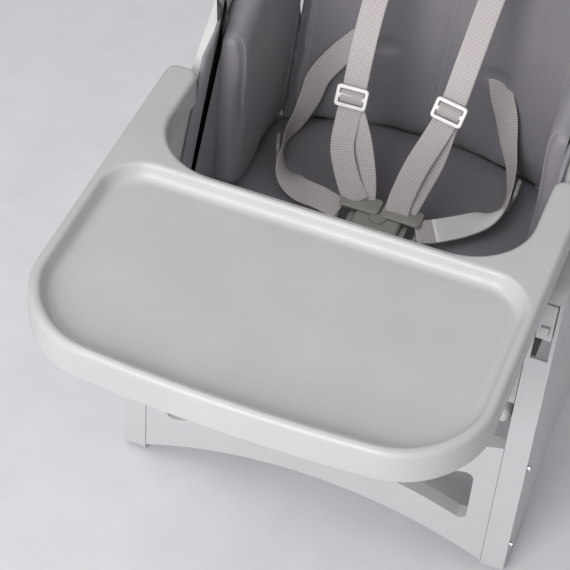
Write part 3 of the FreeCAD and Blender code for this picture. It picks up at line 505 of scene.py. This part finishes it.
def back_shape(point, normal):
    """One seam up the middle, and flat where it lies on the backrest."""
    x, up, out = back_coordinates(point)
    facing = max(normal.dot(back(0, 0, 1) - back(0, 0, 0)) * 1000, 0.0)
    floor = (SEAT_TOP + 1.0 - HINGE.z * 1000 - out * math.sin(TILT)) / math.cos(TILT)
    up -= max(BACK_LOW + 9 - floor, 0.0) * smooth_step((BACK_LOW + 50 - up) / 44)
    out -= facing * groove(x, 3.0, 2.0)
    for slot_x, slot_up in BACK_SLOTS:
        near = math.hypot((abs(x) - slot_x) / 17, (up - slot_up) / 9)
        out -= facing * 2.5 * math.exp(-near ** 4)
    x = math.copysign(min(abs(x) * 1.02, 166.4), x)
    return back(x, up, max(out, 0.3))


BACK_SLOTS = ((57, 338), (66, 122))
BACK_LOW = 24.0
SEAT_TOP = BOX["seat_cushion"][1].z * 1000


def cushions():
    pieces = {
        "seat": cushion("seat_cushion", "seat_pad", "seat", 0.006, seat_shape),
        "back": cushion("back_cushion", "back_pad", "backrest", 0.007, back_shape, 0.006),
        "right": cushion("side_cushion_right", "side_pad_right", "seat", 0.005, side_shape),
        "left": cushion("side_cushion_left", "side_pad_left", "seat", 0.005, side_shape),
    }
    return pieces


def linings():
    """Padded linings on the shell's inner walls, in front of the side cushions."""
    outline = [(2, 279, 10), (146, 279, 10), (146, 590, 12), (116, 560, 20), (2, 400, 20)]
    wall = BOX["side_cushion_right"][1].x * 1000
    for side, sign in (("right", 1), ("left", -1)):
        mesh = bmesh.new()
        rings = []
        for inset, depth in ((1.0, 0.2), (0.0, 1.4), (0.4, 3.2), (2.0, 4.8), (6.0, 6.0), (16.0, 6.6)):
            loop = rounded_loop([(-y, z, r) for y, z, r in reversed(outline)], inset)
            rings.append([mesh.verts.new(mm(sign * (wall - depth), -point.x, point.y)) for point in loop])
        for first, second in zip(rings, rings[1:]):
            bridge(mesh, first, second)
        mesh.faces.new(rings[0])
        mesh.faces.new(rings[-1])
        piece = piece_from("side_lining_" + side, mesh)
        finish_piece(piece, "seat", "leatherette")


# ---------------------------------------------------------------- stitching

def surface_of(piece):
    return BVHTree.FromPolygons([v.co for v in piece.data.vertices],
                                [f.vertices for f in piece.data.polygons])


def along_path(points, pitch):
    """Evenly spaced points along a path of straight runs."""
    spots = []
    travel = 0.0
    for first, second in zip(points, points[1:]):
        length = (second - first).length
        while travel <= length:
            spots.append(first.lerp(second, travel / length))
            travel += pitch
        travel -= length
    return spots


def stitch(mesh, middle, ahead, up):
    """One stitch: a short arched thread that dips into the cover at both ends."""
    side = ahead.cross(up).normalized()
    rings = []
    for place, radius, lift in ((-1.0, 0.18, -0.2), (-0.6, 0.34, 0.22), (0.0, 0.38, 0.36),
                                (0.6, 0.34, 0.22), (1.0, 0.18, -0.2)):
        centre = middle + ahead * place * 0.00115 + up * lift * 0.001
        rings.append([mesh.verts.new(centre + (side * math.cos(a) + up * math.sin(a)) * radius * 0.001)
                      for a in (0.0, 1.26, 2.51, 3.77, 5.03)])
    for first, second in zip(rings, rings[1:]):
        bridge(mesh, first, second)
    mesh.faces.new(rings[0])
    mesh.faces.new(rings[-1])


def stitch_rows(name, rows, cover, ray, body):
    """Rows of stitches laid on a cover, found along a ray from outside it."""
    surface = surface_of(cover)
    mesh = bmesh.new()
    for row in rows:
        spots = along_path(row, 0.0031)
        hits = [surface.ray_cast(spot - ray * 0.12, ray, 0.3) for spot in spots]
        for (here, normal, _, _), (after, _, _, _) in zip(hits, hits[1:]):
            if here is None or after is None or (after - here).length > 0.006:
                continue
            stitch(mesh, (here + after) / 2, (after - here).normalized(), normal)
    return finish_piece(piece_from(name, mesh), body, "stitching")


def stitching(covers):
    inward = (back(0, 0, 0) - back(0, 0, 1)).normalized()
    rows = [[back(x, 30, 40), back(x, 415, 40)] for x in (-3.4, 3.4)]
    rows += [[back(x, 34, 60), back(x, 370, 60)] for x in (-149, -144.5, 144.5, 149)]
    stitch_rows("back_stitching", rows, covers["back"], inward, "backrest")
    for side, sign in (("right", 1), ("left", -1)):
        outward = Vector((sign, 0, 0))
        rows = [[mm(sign * 167, flap_line(z) + shift, z) for z in (430, 500, 575)] for shift in (3.6,)]
        rows.append([mm(sign * 167, 276 + (z - 330) * 0.262, z) for z in (330, 430, 560)])
        stitch_rows("side_stitching_" + side, rows, covers[side], outward, "seat")
    rows = [[mm(x, y, 330) for x in (-140, 0, 140)] for y in (92.6, 99.4)]
    stitch_rows("seat_stitching", rows, covers["seat"], Vector((0, 0, -1)), "seat")


# ---------------------------------------------------------------- harness

UP = (0, -0.3, 1)
OUT = (0, -1, 0.4)
SLOT = (0, -1, 0.7)
WEB = 0.027
THICK = 0.0015


def curve_points(points, steps=8):
    """A smooth line through points (Catmull-Rom), with the values that go with them."""
    ends = [points[0] * 2 - points[1]] + points + [points[-1] * 2 - points[-2]]
    line = []
    for number in range(1, len(ends) - 2):
        a, b, c, d = ends[number - 1:number + 3]
        for step in range(steps):
            t = step / steps
            line.append(0.5 * (2 * b + (c - a) * t + (2 * a - 5 * b + 4 * c - d) * t * t
                               + (3 * b - a - 3 * c + d) * t * t * t))
    line.append(points[-1])
    return line


def web_frames(path):
    middles = curve_points([mm(*spot) for spot, face in path])
    faces = curve_points([Vector(face).normalized() for spot, face in path])
    frames = []
    for number, (middle, face) in enumerate(zip(middles, faces)):
        ahead = middles[min(number + 1, len(middles) - 1)] - middles[max(number - 1, 0)]
        ahead.normalize()
        across = ahead.cross(face).normalized()
        frames.append((middle, across, ahead, across.cross(ahead).normalized()))
    return frames


def web_section():
    """The section of the webbing, with rounded selvedges: (across, out, u) from -1 to 1."""
    top = [(-0.92 + 1.84 * n / 8, 0.5) for n in range(9)]
    round_end = [(0.985, 0.32), (1.0, 0.0), (0.985, -0.32)]
    other = [(-x, -z) for x, z in top]
    return top + round_end + other + [(-x, -z) for x, z in round_end]


def webbing(name, frames, body, lift=0.0, width=WEB, thick=THICK, slot="webbing"):
    section = web_section()
    mesh = bmesh.new()
    uv = mesh.loops.layers.uv.new("UVMap")
    rings = []
    travel = 0.0
    before = frames[0][0]
    for middle, across, ahead, out in frames:
        travel += (middle - before).length
        before = middle
        verts = [mesh.verts.new(middle + across * (x * width / 2) + out * (lift + z * thick)) for x, z in section]
        rings.append((verts, travel / WEB))
    count = len(section)
    for (first, low), (second, high) in zip(rings, rings[1:]):
        for number in range(count):
            after = (number + 1) % count
            face = mesh.faces.new((first[number], first[after], second[after], second[number]))
            ends = ((number, low), (after, low), (after, high), (number, high))
            for loop, (place, along) in zip(face.loops, ends):
                loop[uv].uv = ((section[place][0] + 1) / 2, along)
    mesh.faces.new(rings[0][0])
    mesh.faces.new(rings[-1][0])
    piece = piece_from(name, mesh)
    return finish_piece(piece, body, slot)


SHOULDERS = {
    "right": [
        ((17, 157, 347), UP), ((17, 170, 360), (0, -0.8, 0.6)), ((24, 188, 392), OUT),
        ((35, 208, 422), OUT), ((43, 226, 448), OUT), ((48, 254, 493), OUT),
        ((52, 294, 541), SLOT), ((56, 341, 586), SLOT), ((57, 396, 631), SLOT),
    ],
    "left": [
        ((-27, 157, 347), UP), ((-43, 170, 358), (0, -0.8, 0.6)), ((-60, 188, 385), OUT),
        ((-64, 208, 408), OUT), ((-65, 225, 430), OUT), ((-67, 252, 480), OUT),
        ((-67, 286, 530), SLOT), ((-62, 337, 583), SLOT), ((-57, 396, 631), SLOT),
    ],
}
SHOULDER_TAILS = {
    "right": [((23, 160, 346), UP), ((29, 178, 366), (0, -0.9, 0.5)), ((38, 200, 398), OUT),
              ((42, 219, 434), OUT)],
    "left": [((-22, 160, 346), UP), ((-30, 178, 366), (0, -0.9, 0.5)), ((-44, 197, 395), OUT),
             ((-61, 216, 416), OUT)],
}
LAPS = {
    "right": [
        ((43, 146, 340), UP), ((64, 158, 340), (-0.1, -0.55, 0.8)),
        ((92, 186, 336), (-0.3, -0.6, 0.75)), ((114, 216, 335), (-0.7, -0.4, 0.5)),
        ((118, 250, 336), (-0.97, -0.1, 0.2)), ((110, 284, 342), (-0.9, -0.3, 0.3)),
        ((98, 302, 362), (-0.6, -0.7, 0.4)), ((88, 314, 388), (-0.2, -0.9, 0.4)),
        ((76, 328, 405), OUT), ((64, 350, 424), OUT),
    ],
    "left": [
        ((-43, 146, 340), UP), ((-68, 152, 341), (0.05, -0.4, 0.9)),
        ((-98, 162, 336), (0.3, -0.6, 0.75)), ((-121, 182, 335), (0.7, -0.4, 0.5)),
        ((-135, 211, 336), (0.95, 0.31, 0.05)), ((-141, 240, 336), (0.95, 0.31, 0.05)),
        ((-136, 264, 342), (0.9, -0.3, 0.3)), ((-131, 284, 360), (0.6, -0.7, 0.4)),
        ((-126, 296, 384), (0.3, -0.9, 0.4)), ((-108, 313, 410), OUT), ((-92, 328, 426), OUT),
        ((-80, 350, 440), OUT),
    ],
}


def rounded_plate(name, x_range, y_range, z_range, body, hole=None):
    """A moulded plate with rounded corners and softened edges."""
    mesh = bmesh.new()
    low, high = [min(v) for v in (x_range, y_range, z_range)], [max(v) for v in (x_range, y_range, z_range)]
    corners = [(low[0], low[1], 3), (high[0], low[1], 5), (high[0], high[1], 5), (low[0], high[1], 3)]
    rings = []
    for inset, height in ((0.8, low[2]), (0.0, low[2] + 0.8), (0.0, high[2] - 0.9), (0.3, high[2] - 0.3), (1.0, high[2])):
        rings.append(loop_verts(mesh, rounded_loop(corners, inset), height))
    for first, second in zip(rings, rings[1:]):
        bridge(mesh, first, second)
    mesh.faces.new(rings[0])
    mesh.faces.new(rings[-1])
    return finish_piece(piece_from(name, mesh), body, "buckle_plastic")


def harness():
    for side, sign in (("right", 1), ("left", -1)):
        strap = webbing("shoulder_webbing_" + side, web_frames(SHOULDERS[side]), None)
        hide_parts("shoulder_strap_" + side)
        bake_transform(strap)
        webbing("shoulder_tail_" + side, web_frames(SHOULDER_TAILS[side]), "seat", -0.002)
        frames = web_frames(SHOULDERS[side])
        loop = [(m + out * (0.0022 + 0.0045 * math.sin(math.pi * n / 8)), across, ahead, out)
                for n, (m, across, ahead, out) in enumerate(slider_run(side, frames))]
        webbing("slider_loop_" + side, loop, "shoulder_slider_" + side, 0.0, 0.0262)
        strap = webbing("lap_webbing_" + side, web_frames(LAPS[side]), None)
        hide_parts("lap_strap_" + side)
        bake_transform(strap)
        rounded_plate("harness_plate_" + side, (sign * 1.2, sign * 46), (147, 170), (344.4, 348.2),
                      "buckle_tongue_" + side)
    crotch = [((0, 161, 310), (0, -1, 0)), ((0, 159, 320), (0, -1, 0)), ((0, 157, 329), (0, -1, 0))]
    strap = webbing("crotch_webbing", web_frames(crotch), "seat")
    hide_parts("crotch_strap")
    frames = web_frames(LAPS["right"])[7:26]
    webbing("strap_label", frames, "seat", 0.0014, 0.0262, 0.0009, "label_cloth")


def slider_run(side, frames):
    """The strap's frames inside its slider, over the middle bar."""
    middle = sum(BOX["shoulder_slider_" + side], Vector()) / 2
    nearest = min(frames, key=lambda item: (item[0] - middle).length)
    spot, across, ahead, out = nearest
    spot = spot + ahead * (middle - spot).dot(ahead)
    return [(spot + ahead * (-0.0075 + 0.015 * n / 8), across, ahead, out) for n in range(9)]


# ---------------------------------------------------------------- stage

def camera():
    data = bpy.data.cameras.new("camera")
    data.lens = 126.06
    data.sensor_width = 36.0
    eye = bpy.data.objects.new("camera", data)
    bpy.context.scene.collection.objects.link(eye)
    right = Vector((0.93043073, 0.36172782, 0.0587507))
    up = Vector((-0.30027266, 0.66060248, 0.68807027))
    place = Matrix((right, up, right.cross(up))).transposed().to_4x4()
    place.translation = Vector((0.38068, -1.42522, 1.84494))
    eye.matrix_world = place
    bpy.context.scene.camera = eye


def lamp(name, place, target, size, power):
    data = bpy.data.lights.new(name, "AREA")
    data.size = size
    data.energy = power
    light = bpy.data.objects.new(name, data)
    light.location = place
    light.rotation_euler = (Vector(target) - Vector(place)).to_track_quat("-Z", "Y").to_euler()
    bpy.context.scene.collection.objects.link(light)


def stage():
    mesh = bmesh.new()
    bmesh.ops.create_grid(mesh, x_segments=2, y_segments=2, size=20)
    floor = piece_from("floor", mesh)
    floor.data.materials.append(MATERIALS["floor"])
    world = bpy.data.worlds.new("studio")
    world.use_nodes = True
    world.node_tree.nodes["Background"].inputs["Color"].default_value = (0.97, 0.98, 1.0, 1)
    world.node_tree.nodes["Background"].inputs["Strength"].default_value = 0.42
    bpy.context.scene.world = world
    lamp("key", (-0.3, -2.3, 1.5), (0, 0, 0.4), 1.4, 52)
    lamp("top_fill", (-0.9, -0.9, 2.4), (0, 0, 0.4), 1.6, 16)
    lamp("back_fill", (0.4, 2.2, 1.6), (0, 0, 0.4), 2.0, 10)
    bpy.context.scene.view_settings.view_transform = "Standard"


camera()
soften_nodes()
tray()
covers = cushions()
linings()
stitching(covers)
harness()
stage()
